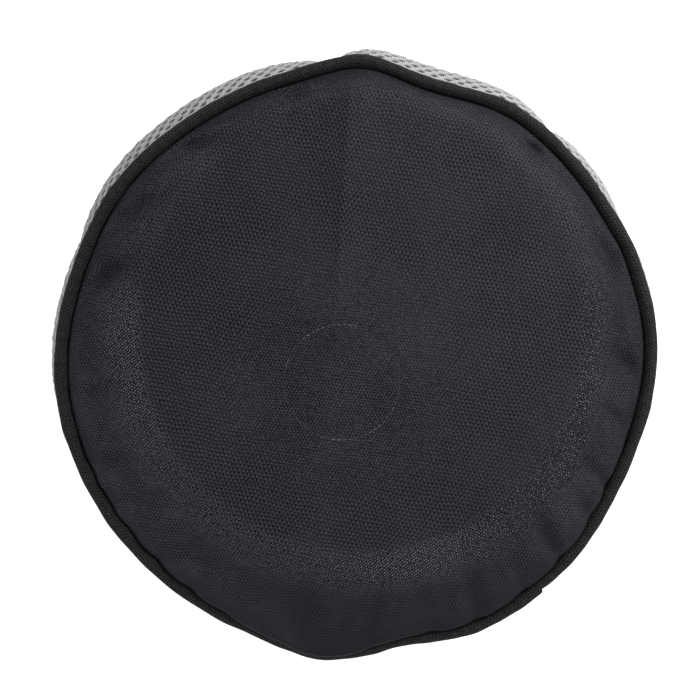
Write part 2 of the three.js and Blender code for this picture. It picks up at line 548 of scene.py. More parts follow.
class Look:
    """A material and the nodes that it is made of."""

    def __init__(self, name):
        self.material = bpy.data.materials.new(name)
        self.material.use_nodes = True
        self.tree = self.material.node_tree
        self.tree.nodes.clear()

    def node(self, kind, settings, sockets, output=0):
        """The output of a new node. Its settings are set first, then its sockets' values or links."""
        made = self.tree.nodes.new("ShaderNode" + kind)
        for name, value in settings.items():
            setattr(made, name, value)
        for name, value in sockets.items():
            if isinstance(value, Value):
                self.tree.links.new(value.socket, made.inputs[name])
            else:
                made.inputs[name].default_value = value
        return Value(self, made.outputs[output]) if len(made.outputs) else made

    def math(self, operation, *values):
        return self.node("Math", {"operation": operation}, dict(enumerate(values)))

    def cosine(self, value):
        return self.math("COSINE", value)

    def rise(self, value, start, end):
        """0 below start and 1 above end, or the other way round where start is the greater."""
        sockets = {"Value": value, "From Min": min(start, end), "From Max": max(start, end)}
        up = self.node("MapRange", {"interpolation_type": "SMOOTHSTEP"}, sockets)
        return up if start < end else 1 - up

    def mix(self, share, first, second):
        """The first colour, turning into the second as the share goes from 0 to 1."""
        sockets = {0: share, 6: first, 7: second}
        return self.node("Mix", {"data_type": "RGBA"}, sockets, output=2)

    def scale(self, shade, strength):
        """The colour times the strength."""
        return self.node("VectorMath", {"operation": "SCALE"}, {0: shade, "Scale": strength})

    def attribute(self, name):
        """A number that the mesh carries on its points."""
        return self.node("Attribute", {"attribute_name": name}, {}, output=2)

    def flat_place(self):
        """The place on the flat cloth in millimetres: the vector, and its two numbers."""
        vector = self.node("UVMap", {"uv_map": "cloth"}, {})
        x = self.node("SeparateXYZ", {}, {0: vector}, output=0)
        y = self.node("SeparateXYZ", {}, {0: vector}, output=1)
        return vector, x, y

    def noise(self, vector, scale, detail=2.0, seed=0.0):
        """Smooth random values about 0.5. Its lumps are about 1 / scale long."""
        sockets = {"Vector": vector, "Scale": scale, "Detail": detail, "W": seed}
        return self.node("TexNoise", {"noise_dimensions": "4D"}, sockets)

    def distance(self, x, y, centre):
        """How far a place on the flat cloth is from a centre."""
        across = x - float(centre[0])
        along = y - float(centre[1])
        return self.math("SQRT", across * across + along * along)

    def bump(self, height, distance, strength):
        """Normals of a surface that the height lifts by up to the distance, in metres."""
        return self.node("Bump", {}, {"Height": height, "Distance": distance, "Strength": strength})

    def finish(self, **sockets):
        """The cloth's shader, from its sockets' names with underscores for spaces."""
        named = {name.replace("_", " "): value for name, value in sockets.items()}
        shader = self.node("BsdfPrincipled", {}, named)
        self.node("OutputMaterial", {}, {"Surface": shader})
        return self.material


def colour(value):
    """A user's colour with its alpha, for a shader's socket."""
    return (*value, 1.0)


def phases(x, y, waves, lags):
    """How far a place is across each of two rows of threads, as an angle, and a lag for each row."""
    found = []
    for wave, lag in zip(waves, lags):
        turn = np.radians(wave.angle)
        pace = 2 * np.pi / wave.pitch
        found.append(x * float(pace * np.cos(turn)) + y * float(pace * np.sin(turn)) + lag)
    return found


def knit(look, first, second, shift=0.0):
    """A net of two rows with the phases p and q: cos p + cos q + cos(p + q).

    It is 3 in a hole and -1.5 on a knot. Both phases may be shifted, and at a third of a turn the
    value is 3 on one of the cell's two knots.
    """
    third = first + second - 2 * shift
    return look.cosine(first - shift) + look.cosine(second - shift) + look.cosine(third)


def net(look, first, second, pulled):
    """A net's share of thread, which is 0 in its holes, and the thread's brightness.

    The brightness is high on one knot of each cell and low on the other. Where the net is pulled,
    its holes are smaller and its knots more alike.
    """
    cover = look.rise(knit(look, first, second) - 0.5 * pulled, 1.3, -0.2)
    return cover, 0.68 + (0.2 - 0.05 * pulled) * knit(look, first, second, THIRD)


# The crown

def crown_relief(x, y):
    """What lifts the crown's cloth: the old fold, lumps, creases and waviness, less the ring's dent.

    The fold is high * exp(-|away| / width), away from a leaning line, once broad and once narrow,
    and it fades to the front. A crease is high * exp(-(away / wide)^2), away from its angle's ray,
    and fades in from its start outwards. A lump and the dent are the same round a point and a circle.
    """
    away = np.abs(x - (RIDGE_X + RIDGE_LEAN * y))
    along = rise(y, RIDGE_END - RIDGE_FADE, RIDGE_END + RIDGE_FADE)
    broad = RIDGE_HIGH * np.exp(-away / RIDGE_WIDTH)
    height = along * (broad + RIDGE_EDGE * np.exp(-away / RIDGE_EDGE_WIDTH))
    side_x = x - SEAM_CENTRE[0]
    side_y = y - SEAM_CENTRE[1]
    for crease in CREASES:
        turn = np.radians(crease.at)
        out = side_x * np.cos(turn) + side_y * np.sin(turn)
        off = side_y * np.cos(turn) - side_x * np.sin(turn)
        share = rise(out, crease.start, crease.start + CREASE_FADE)
        height = height + crease.high * share * np.exp(-((off / crease.wide) ** 2))
    for lump in LUMPS:
        height = height + lump.high * np.exp(-(((x - lump.x) ** 2 + (y - lump.y) ** 2) / lump.wide**2))
    sizes = bpy.context.scene.kufi_sizes
    from_ring = np.hypot(x - RING_CENTRE[0], y - RING_CENTRE[1]) - sizes.ring_radius / MM
    height = height - RING_DENT * np.exp(-((from_ring / RING_DENT_WIDTH) ** 2))
    return height + waviness(x, y, seed=3, shortest=22, longest=55, high=0.14)


def pleat_lift(angle, outward):
    """What the pleats add to the crown's height: -drop * t * exp((1 - t^2) / 2) for each one.

    t is the angle from its middle over its half width. All grow from the disc's edge outwards and
    end at the piping.
    """
    lift = 0
    for row in PLEATS:
        t = way_round(angle, row.at + row.lean * (1 - outward)) / row.width
        lift = lift - row.drop * t * np.exp((1 - t**2) / 2)
    return lift * rise(outward, 0.15, 0.75) * (1 - outward**16)


def crown_surface(thick):
    """The middle of the crown's cloth, on rings by angles, and its places on the flat cloth.

    The third array is 0 on the flat disc, 1 where the cloth rolls over, and 2 down in the seam.

    The disc is flat but for the relief. From its edge the plan goes straight to the piping while
    the height turns from a smooth shoulder to the piping's top by the cube of the way, less sine
    humps of the puckers and gathers. Then the cloth bends round an arc, hugs the cord's inner side
    till it is below it, and hangs down inside as a seam allowance.
    """
    angle = turns(CROWN_COLUMNS)
    gathered = added(GATHERS, angle)
    shown = PIPING_SHOWN + added(PIPING_SHOWN_CHANGES, angle) + GATHER_PULL * gathered
    shown = np.minimum(shown, 2 * PIPING_RADIUS + SEAM_SLIT)
    cord = seam_radius(angle) - PIPING_RADIUS
    level = seam_height(angle)
    hug = PIPING_RADIUS + thick / 2 + SEAM_SLIT
    bend = EDGE_BEND + WIDER_BEND * rise(shown, 4.0, 4.5)
    lean = np.arcsin(np.clip((shown - PIPING_RADIUS + bend + thick / 2) / (hug + bend), 0, 1))
    bend_out = cord - (hug + bend) * np.sin(lean)
    bend_up = level + (hug + bend) * np.cos(lean)

    disc = around(FLAT_RADIUS * shares(DISC_RINGS), angle, FLAT_CENTRE)
    disc_height = np.full(disc.shape[:2], HEIGHT - thick / 2)
    disc_height = disc_height + crown_relief(disc[..., 0], disc[..., 1])

    start = disc[-1]
    run = np.linalg.norm(around(bend_out, angle) - start, axis=-1)
    fall = HEIGHT - SLOPE_DROP - thick / 2 - bend_up - bend
    slope = np.arctan(np.maximum(3 * fall / run, 0))
    end = around(bend_out + bend * np.sin(slope), angle)
    edge = bend_up + bend * np.cos(slope)
    outward = shares(SLOPE_RINGS)
    plan = start + (end - start) * outward[..., None]
    from_flat = np.linalg.norm(plan - FLAT_CENTRE, axis=-1) - FLAT_RADIUS
    shoulder = HEIGHT - thick / 2 - SLOPE_DROP * rise(from_flat, -1, SLOPE_WIDTH)
    height = shoulder + (edge - shoulder) * outward**3
    height = height + crown_relief(plan[..., 0], plan[..., 1]) * (1 - outward**4)
    height = height - added(PUCKERS, angle) * np.sin(np.pi * outward**1.7) ** 2
    height = height - gathered * np.sin(np.pi * outward**3) ** 2
    height = height + pleat_lift(angle, outward)

    turn = shares(EDGE_RINGS) * (np.pi - lean - slope) + slope
    nose = around(bend_out + bend * np.sin(turn), angle)
    nose_height = bend_up + bend * np.cos(turn)
    low = np.radians(HUG_END)
    hugging = lean + (low - lean) * shares(HUG_RINGS)
    flank = around(cord - hug * np.sin(hugging), angle)
    flank_height = level + hug * np.cos(hugging)
    hang = shares(ALLOWANCE_RINGS)
    allowance = around(cord - hug * np.sin(low) - ALLOWANCE_LEAN * hang, angle)
    allowance_height = flank_height[-1] - SEAM_ALLOWANCE * hang

    plans = np.concatenate([disc, plan, nose, flank, allowance])
    heights = np.concatenate([disc_height, height, nose_height, flank_height, allowance_height])
    points = lifted(plans, heights)

    step = np.linalg.norm(np.diff(points[DISC_RINGS - 1:], axis=0), axis=-1)
    along = np.cumsum(step, axis=0)
    heading = (end - start) / np.linalg.norm(end - start, axis=-1)[:, None]
    places = np.concatenate([disc, start + heading * along[..., None]])
    slope_end = DISC_RINGS + SLOPE_RINGS
    rolled = np.full(heights.shape, 2.0)
    rolled[:DISC_RINGS] = 0
    rolled[DISC_RINGS:slope_end] = rise(outward, 0.74, 0.95)
    rolled[slope_end:slope_end + EDGE_RINGS] = np.linspace(1, 2, EDGE_RINGS)[:, None]
    return points, places, rolled


def painted_glint_share(points):
    """How strongly glints are painted round the flat disc's edge, from 0 to 1, at each point.

    Round the front it has a share to which the table's rows are added. It starts within 2 mm of
    the disc's edge and fades outwards from 0.45 to 1.15 of its width, which is less at the right.
    """
    away = points[:, :2] - FLAT_CENTRE
    angle = np.degrees(np.arctan2(away[:, 1], away[:, 0])) % 360
    turn = (angle - 90) % 360 + 90
    share = rise(turn, GLINT_FROM - 5, GLINT_FROM + 5) * rise(turn, GLINT_TO + 4, GLINT_TO - 6)
    share = np.clip(GLINT_FRONT * share + added(PAINTED_GLINT_ROWS, angle), 0, 1)
    from_flat = np.linalg.norm(away, axis=-1) - FLAT_RADIUS
    wide = 14 - 6 * rise(turn, 325, 345)
    return share * rise(from_flat, -1.8, 1.4) * rise(from_flat / wide, 1.15, 0.45)


def crown_mesh(thick):
    """The crown's rings joined by quads, with a fan of triangles in the middle."""
    points, places, rolled = crown_surface(thick)
    rings, columns = points.shape[:2]
    middle = np.array([[*FLAT_CENTRE, HEIGHT - thick / 2 + crown_relief(*FLAT_CENTRE)]])
    column = np.arange(columns)
    fan = np.stack([np.full(columns, rings * columns), column, (column + 1) % columns], axis=-1)
    closed = np.concatenate([places, places[:, :1]], axis=1)
    centre = np.broadcast_to(FLAT_CENTRE, (columns, 2))
    fan_places = np.stack([centre, closed[0, :-1], closed[0, 1:]], axis=1)
    faces = grid_faces(rings, columns)[:, ::-1]
    corners = grid_corners(closed)[:, ::-1]
    vertices = np.concatenate([points.reshape(-1, 3), middle])
    mesh = make_mesh("crown_cloth", vertices, [(fan, fan_places), (faces, corners)])
    set_attribute(mesh, "glint_share", painted_glint_share(vertices))
    set_attribute(mesh, "rolled", np.append(rolled.ravel(), 0))
    return mesh


def crown_look(colours):
    """Two layers of fine net. Through the upper one's holes the lower one shows, a little shifted.

    The shift drifts slowly over the flat disc and faster beyond it, where the cloth is gathered.
    There and round the ring of stitches a finer net takes over. Round the flat disc's edge, fine
    dots of painted glint lie on its threads, joined into streaks at the left and the front.
    Where it rolls over to the piping its holes close, and down in the seam it has painted shade.
    """
    look = Look("crown_net")
    vector, x, y = look.flat_place()
    glint_share = look.attribute("glint_share")
    rolled = look.attribute("rolled")

    # 0 to 1 in each region of the crown
    from_flat = look.distance(x, y, FLAT_CENTRE) - FLAT_RADIUS
    outer = look.rise(from_flat, 2.0, 12.0)
    front = outer * look.rise(y, -50.0, -78.0)
    from_ring = look.distance(x, y, RING_CENTRE)
    middle = look.rise(from_ring, 12.0, 4.0)
    maze = look.rise(from_ring, 46.0, 18.0)
    edge = look.rise(from_flat, -45.0, -8.0) * look.rise(y, -30.0, 5.0)
    calm = look.rise(x - y, 20.0, 65.0)
    right = outer * look.rise(x, 20.0, 60.0)
    left = look.rise(x, -20.0, -50.0)
    # Beyond the disc at the upper right, where the cloth gets painted shade
    shade_upper_right = outer * look.rise(0.6 * x + 0.8 * y, 20.0, 60.0)
    # Beyond the disc at the lower left, where the cloth gets painted light
    light_lower_left = outer * look.rise(0.8 * x + 0.6 * y, -60.0, -74.0)
    streaky = look.rise(x + 0.6 * y, 30.0, -10.0)
    closed = look.rise(rolled, 0.0, 1.0)
    drift = [
        9.0 * look.noise(vector, 0.05, seed=seed) + 2.6 * look.noise(vector, 0.3, seed=seed + 7.0)
        for seed in (1.0, 2.0)
    ]
    slow = 15.0 * look.noise(vector, 0.028, seed=3.0)
    fast = 30.0 * outer * look.noise(vector, 0.07, seed=4.0)
    pulled = look.rise(x + 0.3 * y, -40.0, 45.0)

    def two_nets(waves):
        first, second = phases(x, y, waves, drift)
        cover, upper = net(look, first, second, pulled)
        lower_cover, lower = net(look, first - slow + fast, second + slow + fast, pulled)
        return cover * upper + (1 - cover) * lower_cover * (0.5 * lower)

    small = look.math("MAXIMUM", 0.85 * outer, maze)
    weave = (1 - small) * two_nets(MESH_WAVES) + small * two_nets(FINE_WAVES)
    contrast = 1.6 + 0.6 * edge + 0.7 * outer - 1.0 * front - 0.1 * maze - 0.3 * calm
    contrast = contrast + 0.7 * right + 0.5 * left
    weave = 0.5 + (weave - 0.5) * contrast * (1 - 0.75 * closed)
    fuzz = look.noise(vector, 2.5, 1.0, seed=5.0)
    tone = look.noise(vector, 0.05, seed=6.0)
    shade = look.mix(weave, colour(colours.crown_gap), colour(colours.crown_thread))
    grain = (1.8 + 1.6 * maze - 1.2 * front) * (fuzz - 0.5)
    # The 0.0009 * x term paints light: the cloth grows brighter towards the right, where the main light
    # stands
    strength = 0.73 + grain + 0.35 * tone + 0.0009 * x + 0.14 * middle - 0.06 * outer
    # Painted shade darkens the cloth beyond the disc at the upper right, and beneath the painted glints the
    # base is darkened
    strength = strength - 0.14 * shade_upper_right - 0.15 * front - (0.4 - 0.32 * streaky) * glint_share
    # Painted light brightens the cloth beyond the disc at the lower left
    strength = strength + 0.2 * light_lower_left - 0.03 * calm
    # Down in the seam the cloth is painted darker: painted shade in the groove
    shade = look.scale(shade, strength * (1 - 0.5 * look.rise(rolled, 1.0, 1.8)))

    # Glints painted into the colour: fine dots on the threads, joined into streaks at the left and the
    # front
    first, second = phases(x, y, GLINT_WAVES, drift)
    fine = knit(look, first, second, THIRD)
    lines = look.cosine(second - THIRD) * 2.1
    sparkle = look.noise(vector, 1.3, 1.0, seed=7.0)
    glint = fine * (1 - 0.5 * streaky) + streaky * lines + 5.5 * sparkle
    glint = look.rise(glint, 4.9, 6.1) * glint_share * (1 - 0.45 * streaky)
    shade = look.mix(glint, shade, colour(colours.crown_painted_glint))
    return look.finish(
        Base_Color=shade,
        Roughness=0.65 - 0.2 * glint,
        Specular_IOR_Level=0.08,
        Normal=look.bump(0.8 * fuzz + weave, 0.15 * MM, 0.6),
    )


# Stitches

def stitch_mesh(name, line, stitch):
    """Short threads, each a rounded spindle along its own stretch of a line.

    The line is the threads' middles in millimetres, how clearly each one shows, and a function
    that gives the points, outward normals and sideways directions at places along it. From t = -1
    at one end of a thread to 1 at the other, its radius is thick / 2 * sqrt(1 - t^2), and its
    middle lies lift * (1 - 2 t^4) above the cloth.
    """
    middles, shown, line_at = line
    t = np.linspace(-1, 1, STITCH_RINGS)
    around_thread = np.arange(STITCH_SIDES) * 2 * np.pi / STITCH_SIDES
    place = middles[:, None] + t * stitch.long / 2
    points, normals, sides = line_at(place)
    radius = stitch.thick / 2 * np.sqrt(np.maximum(1 - t**2, 0.02))
    centre = points + normals * (stitch.lift * (1 - 2 * t**4))[None, :, None]
    ring = (
        centre[:, :, None]
        + normals[:, :, None] * (np.sin(around_thread) * radius[:, None])[None, ..., None]
        + sides[:, :, None] * (np.cos(around_thread) * radius[:, None])[None, ..., None]
    )
    each = STITCH_RINGS * STITCH_SIDES
    offset = (np.arange(len(middles)) * each)[:, None, None]
    groups = []
    for faces in (grid_faces(STITCH_RINGS, STITCH_SIDES), end_faces(STITCH_RINGS, STITCH_SIDES)):
        every = (faces[None] + offset).reshape(-1, faces.shape[1])
        groups.append((every, np.zeros((*every.shape, 2))))
    mesh = make_mesh(name, ring.reshape(-1, 3), groups)
    set_attribute(mesh, "shown", np.repeat(shown, each))
    return mesh


def even_places(length, pitch):
    """Places in millimetres along a closed line, nearly a pitch apart. The pitch is in metres."""
    count = round(length / (pitch / MM))
    return np.arange(count) * length / count


def ring_line(sizes):
    """The circle of stitches that lies on the crown."""
    radius = sizes.ring_radius / MM
    middles = even_places(2 * np.pi * radius, sizes.ring_pitch)
    # The ring's thread gets painted glints at the table's angles
    shown = 0.1 + added(RING_GLINTS, np.degrees(middles / radius))

    def line_at(place):
        turn = place / radius
        out = np.stack([np.cos(turn), np.sin(turn)], axis=-1)
        plan = RING_CENTRE + radius * out
        height = HEIGHT + crown_relief(plan[..., 0], plan[..., 1])
        points = lifted(plan, height)
        normals = np.broadcast_to([0.0, 0.0, 1.0], points.shape)
        return points, normals, lifted(out, np.zeros_like(height))

    return middles, shown, line_at


def thread_look(name, shade):
    """Twisted thread, slightly shiny, brighter where it is shown; on the ring that is painted glint."""
    look = Look(name)
    vector = look.node("TexCoord", {}, {}, output=3)
    # How brightly the thread is painted: painted glint on the ring, random tone on every thread
    tone = look.attribute("shown") * (4.0 * look.noise(vector, 500.0, seed=1.0) - 1.0)
    return look.finish(Base_Color=look.scale(tuple(shade), tone), Roughness=0.5)


# The piping

def piping_surface():
    """The piping's skin, on steps along it by sides round it, and its places on the flat cloth.

    A tube whose centre runs at the seam. Its radius is sqrt(1 - (1 - d / length)^2) of the whole
    within that length of either end, less seeded waves. Towards the end that is tucked in, the
    centre moves inwards and down by a bell, and towards the one that laps it, outwards and up.
    """
    along = np.linspace(0, 1, PIPING_STEPS)
    start = JOIN_ANGLE - JOIN_LAP
    angle = start + along * (360 + 2 * JOIN_LAP)
    arc = (angle - start) * np.radians(SEAM_RADIUS)
    left = arc[-1] - arc
    tip = np.sqrt(1 - (1 - np.clip(arc / TAPER, 0, 1)) ** 2)
    stub = np.sqrt(1 - (1 - np.clip(left / BLUNT, 0, 1)) ** 2)
    tucked = np.exp(-((arc / 5.0) ** 2))
    lapping = np.exp(-((left / 9.0) ** 2))
    gathers = waviness(arc, 0 * arc, seed=11, shortest=5, longest=22, high=0.05)
    radius = PIPING_RADIUS * np.maximum(tip * stub, 0.02) * (1 + gathers)
    middle = seam_radius(angle) - PIPING_RADIUS - TUCKED_IN * tucked + LAPPED_OUT * lapping
    centre = around(middle, angle)
    height = seam_height(angle) - TUCKED_DOWN * tucked + LAPPED_UP * lapping

    side = np.arange(PIPING_SIDES) * 2 * np.pi / PIPING_SIDES
    out = around(1.0, angle, np.zeros(2))
    plan = centre[:, None] + out[:, None] * (radius[:, None] * np.cos(side))[..., None]
    level = height[:, None] + radius[:, None] * np.sin(side)
    girth = np.arange(PIPING_SIDES + 1) * 2 * np.pi / PIPING_SIDES * PIPING_RADIUS
    places = np.stack(np.meshgrid(arc, girth, indexing="ij"), axis=-1)
    return lifted(plan, level), places


def piping_mesh():
    """The piping's tube, with its two small ends closed."""
    points, places = piping_surface()
    end_places = np.stack([places[0, :-1][::-1], places[-1, :-1]])
    groups = [
        (grid_faces(PIPING_STEPS, PIPING_SIDES), grid_corners(places)),
        (end_faces(PIPING_STEPS, PIPING_SIDES), end_places),
    ]
    return make_mesh("piping_cover", points.reshape(-1, 3), groups)


def piping_look(colours):
    """One layer of fine net over the cord, with painted shade on the side that lies in the seam."""
    look = Look("piping_net")
    vector, x, y = look.flat_place()
    # The side of the cord that lies in the seam, where shade is painted
    seam_shade = look.rise(y / PIPING_RADIUS, 1.15, 2.1)
    drift = [6.0 * look.noise(vector, 0.35, seed=seed) for seed in (1.0, 4.0)]
    first, second = phases(x, y, PIPING_WAVES, drift)
    hole = look.rise(knit(look, first, second), -0.2, 2.0)
    rib = look.cosine(x * 1.6 + 6.0 * look.noise(vector, 0.2, seed=5.0))
    shade = look.mix(0.85 * hole, colour(colours.piping_thread), colour(colours.piping_gap))
    fuzz = look.noise(vector, 2.2, 1.0, seed=2.0)
    strength = 2.0 * fuzz - 0.15 + 0.4 * look.noise(vector, 0.3, seed=3.0) + 0.08 * rib
    # Painted shade on the side that lies in the seam
    shade = look.scale(shade, strength * (1 - 0.35 * seam_shade))
    height = fuzz + 0.3 * rib - 0.6 * hole
    return look.finish(
        Base_Color=shade,
        Roughness=0.75,
        Specular_IOR_Level=0.06,
        Normal=look.bump(height, 0.2 * MM, 0.8),
    )


# The side band

def band_outline(angle):
    """Radii and heights of the band's outside at each angle, from under the piping to inside the rim.

    It leaves the seam level, swells over the puff's quarter-sine, runs to the rim with the upright
    folds by the square of a sine, and goes round the rim on half an ellipse. Bells draw it in at
    the hem's stitches and at the back seam.
    """
    seam = seam_radius(angle)[:, None]
    tall = (seam_height(angle) - PIPING_RADIUS - SEAM_GAP)[:, None]
    turned_in = np.linspace(-BAND_WALL, 0, TUCKED_STEPS + 1)[None, :-1]
    top_radius = seam - TUCK + turned_in
    top_height = tall + 0 * turned_in

    down = (tall - RIM_ROUNDING) * np.linspace(0, 1, WALL_STEPS)[None] ** 2
    quarter = np.pi / 2 * np.clip(down / PUFF_DEPTH, 0, 1)
    shoulder = seam - TUCK + (TUCK + puff_out(angle)[:, None]) * np.sin(quarter)
    wall = shoulder + (RIM_RADIUS - shoulder) * rise(down, PUFF_DEPTH, tall)
    wall = wall + added(BAND_FOLDS, angle)[:, None] * np.sin(np.pi * down / tall) ** 2
    height = tall - down
    from_stitches = height - HEM_HEIGHT + HEM_STITCH_DROP
    wall = wall - HEM_STITCH_DENT * np.exp(-((from_stitches / HEM_DENT_WIDTH) ** 2))
    back_seam = bell(angle, Bell(BACK_SEAM_ANGLE, BACK_SEAM_DENT, BACK_DENT_WIDTH))
    wall = wall - back_seam[:, None] * rise(down, 0, 2)

    turn = np.linspace(0, np.pi, 20)[None, 1:]
    rim_radius = wall[:, -1:] - HEM_WALL / 2 * (1 - np.cos(turn))
    rim_height = RIM_ROUNDING * (1 - np.sin(turn)) + 0 * rim_radius
    radius = np.concatenate([top_radius, wall, rim_radius], axis=1)
    heights = np.concatenate([top_height, height, rim_height], axis=1)
    return radius, heights


def band_chart():
    """The band's outside on even steps of its own length: radius, height, and the normal's two parts.

    One interpolation does every angle at once, because each angle's shares lie 2 above the last.
    """
    angle = turns(BAND_COLUMNS)
    radius, height = band_outline(angle)
    across = np.gradient(radius, axis=1)
    up = np.gradient(height, axis=1)
    length = np.hypot(across, up)
    step = np.hypot(np.diff(radius, axis=1), np.diff(height, axis=1))
    share = np.concatenate([np.zeros((len(angle), 1)), np.cumsum(step, axis=1)], axis=1)
    share = share / share[:, -1:]
    lift = 2 * np.arange(len(angle))[:, None]
    wanted = np.linspace(0, 1, BAND_LEVELS)[None] + lift
    columns = [radius, height, -up / length, across / length]
    chart = [np.interp(wanted.ravel(), (share + lift).ravel(), c.ravel()) for c in columns]
    return np.stack(chart).reshape(4, len(angle), BAND_LEVELS)


def chart_at(chart, turn, share):
    """The chart's four values at shares of a turn and of the way down, between its steps."""
    columns, levels = chart.shape[1:]
    x = (turn % 1) * columns
    y = np.clip(share, 0, 1) * (levels - 1)
    left = np.floor(x).astype(int)
    upper = np.minimum(np.floor(y).astype(int), levels - 2)
    fx = x - left
    fy = y - upper
    right = (left + 1) % columns
    left = left % columns
    top = chart[:, left, upper] * (1 - fx) + chart[:, right, upper] * fx
    bottom = chart[:, left, upper + 1] * (1 - fx) + chart[:, right, upper + 1] * fx
    return top * (1 - fy) + bottom * fy


def band_points(chart, turn, share, depth):
    """Points under the band's outside: the chart's place, less depth along its normal."""
    radius, height, out, up = chart_at(chart, turn, share)
    plan = around(radius - depth * out, BACK_SEAM_ANGLE + 360 * turn)
    return lifted(plan, height - depth * up)


def net_mesh(sizes):
    """The band's outer face: a net of slanted oval holes, staggered from row to row.

    Each hole's cell is a diamond with 8 points on its crest. A ring of 8 points on a slanted oval
    lies a little lower, and a smaller one at the bottom of the hole closes it.
    """
    chart = band_chart()
    length = np.hypot(*np.diff(chart[:2], axis=2)).sum(axis=1).mean()
    columns = round(2 * np.pi * SEAM_RADIUS / (sizes.hole_pitch / MM))
    rows = round(length / (sizes.row_pitch / MM))
    pitch = 2 * np.pi * SEAM_RADIUS / columns
    row_pitch = length / rows

    row, column = np.meshgrid(np.arange(1, rows), np.arange(columns), indexing="ij")
    middle = np.stack([column + 0.5 * (row % 2), row], axis=-1).reshape(-1, 1, 2)
    crest = np.array([[2, 0], [1, -1], [0, -2], [-1, -1], [-2, 0], [-1, 1], [0, 2], [1, 1]])
    crest_place = middle + crest / [4, 2]
    turn = np.arange(HOLE_SIDES) * 2 * np.pi / HOLE_SIDES
    after = np.roll(np.arange(HOLE_SIDES), -1)
    slant = np.radians(HOLE_SLANT)

    def oval(long, wide):
        """An oval's 8 points, counted in cells, slanted up to the right as seen from outside."""
        x = long / 2 * np.cos(turn)
        y = wide / 2 * np.sin(turn)
        across = x * np.cos(slant) - y * np.sin(slant)
        up = x * np.sin(slant) + y * np.cos(slant)
        return middle + np.stack([across / pitch, -up / row_pitch], axis=-1)

    long = sizes.hole_long / MM
    wide = sizes.hole_wide / MM
    random = np.random.default_rng(5)
    shift = random.normal(0, HOLE_SHIFT, (len(middle), 1, 2))
    edge_place = oval(long, wide) + shift
    floor_place = oval(long * HOLE_FLOOR[0], wide * HOLE_FLOOR[1]) + shift

    # Cells share their crest points, which are found by their places in quarters of a cell
    key = np.round(crest_place * [4, 2]).astype(int)
    key[..., 0] %= 4 * columns
    number = key[..., 0] * (2 * rows + 4) + key[..., 1] + 1
    found, first, shared = np.unique(number, return_index=True, return_inverse=True)
    shared = shared.reshape(number.shape)
    crest_flat = crest_place.reshape(-1, 2)[first]

    count = len(middle) * HOLE_SIDES
    edge = len(found) + np.arange(count).reshape(-1, HOLE_SIDES)
    floor = edge + count
    place = np.concatenate([crest_flat, edge_place.reshape(-1, 2), floor_place.reshape(-1, 2)])
    depth = np.concatenate([
        random.normal(0, CREST_ROUGHNESS, len(found)),
        np.full(count, HOLE_EDGE_DEPTH),
        np.full(count, sizes.hole_depth / MM),
    ])
    hollow = np.concatenate([np.zeros(len(found)), np.full(count, 0.3), np.ones(count)])
    points = band_points(chart, place[:, 0] / columns, place[:, 1] / rows, depth)

    def strip(upper, lower):
        """The corners of the quads between two rings, as points' numbers or as places."""
        return np.stack([upper, upper[:, after], lower[:, after], lower], axis=2)

    in_mm = np.array([pitch, row_pitch])
    groups = [
        (strip(shared, edge).reshape(-1, 4), strip(crest_place, edge_place) * in_mm),
        (strip(edge, floor).reshape(-1, 4), strip(edge_place, floor_place) * in_mm),
        (floor, floor_place * in_mm),
    ]
    mesh = make_mesh("band_face", points, groups)
    set_attribute(mesh, "hollow", hollow)
    return mesh


def back_mesh():
    """The band's inner layer with its hem: a closed wall that lies behind the net.

    Its outline goes down inside the outer face, across the rim, up the hem's inner side, over the
    hem's top edge and up the inner face of the band.
    """
    outer_top = 0.97  # these three are shares of the band's height
    inner_top = 0.985
    outer_bottom = 0.02
    rounding = 0.8  # of the hem's edges
    inside = 0.1  # its inner side stands this far inside the CAD model's
    angle = turns(BACK_COLUMNS)
    outline_radius, outline_height = band_outline(angle)
    upwards = slice(TUCKED_STEPS + WALL_STEPS - 1, TUCKED_STEPS - 1, -1)
    tall = outline_height[:, TUCKED_STEPS, None]

    def wall_radius(height):
        """The outside's radius at heights on each angle, between the outline's steps."""
        rows = zip(height, outline_height[:, upwards], outline_radius[:, upwards])
        return np.array([np.interp(*row) for row in rows])

    down = np.linspace(outer_top, outer_bottom, 30)[None] * tall
    outer = wall_radius(down) - FACE_DEPTH
    low = np.linspace(rounding, HEM_HEIGHT - rounding, 12)[None] + 0 * tall
    hem = np.broadcast_to(RIM_RADIUS - HEM_WALL - inside, low.shape)
    over = np.linspace(0.1, np.pi - 0.1, 6)[None] + 0 * tall
    hem_middle = RIM_RADIUS - (HEM_WALL + BAND_WALL) / 2 - inside
    hem_half = (HEM_WALL - BAND_WALL) / 2
    cap = hem_middle - hem_half * np.cos(over)
    cap_height = HEM_HEIGHT - rounding + rounding * np.sin(over)
    share = np.linspace(0, 1, 34)[None]
    inner_height = HEM_HEIGHT - rounding + (tall * inner_top - HEM_HEIGHT + rounding) * share
    inner = wall_radius(inner_height) - BAND_WALL
    inner[:, 0] = np.minimum(inner[:, 0], cap[:, -1])
    radius = np.concatenate([outer, hem, cap, inner], axis=1).T
    height = np.concatenate([down, low, cap_height, inner_height], axis=1).T
    points = lifted(around(radius, angle), height)
    step = np.hypot(np.diff(radius, axis=0), np.diff(height, axis=0)).mean(axis=1)
    along = np.concatenate([[0], np.cumsum(step), [step.sum() + BAND_WALL]])
    round_it = np.arange(BACK_COLUMNS + 1) * 2 * np.pi * SEAM_RADIUS / BACK_COLUMNS
    places = np.stack(np.meshgrid(along, round_it, indexing="ij")[::-1], axis=-1)
    faces = grid_faces(len(radius), BACK_COLUMNS, closed_rows=True)
    return make_mesh("band_back", points.reshape(-1, 3), [(faces, grid_corners(places))])


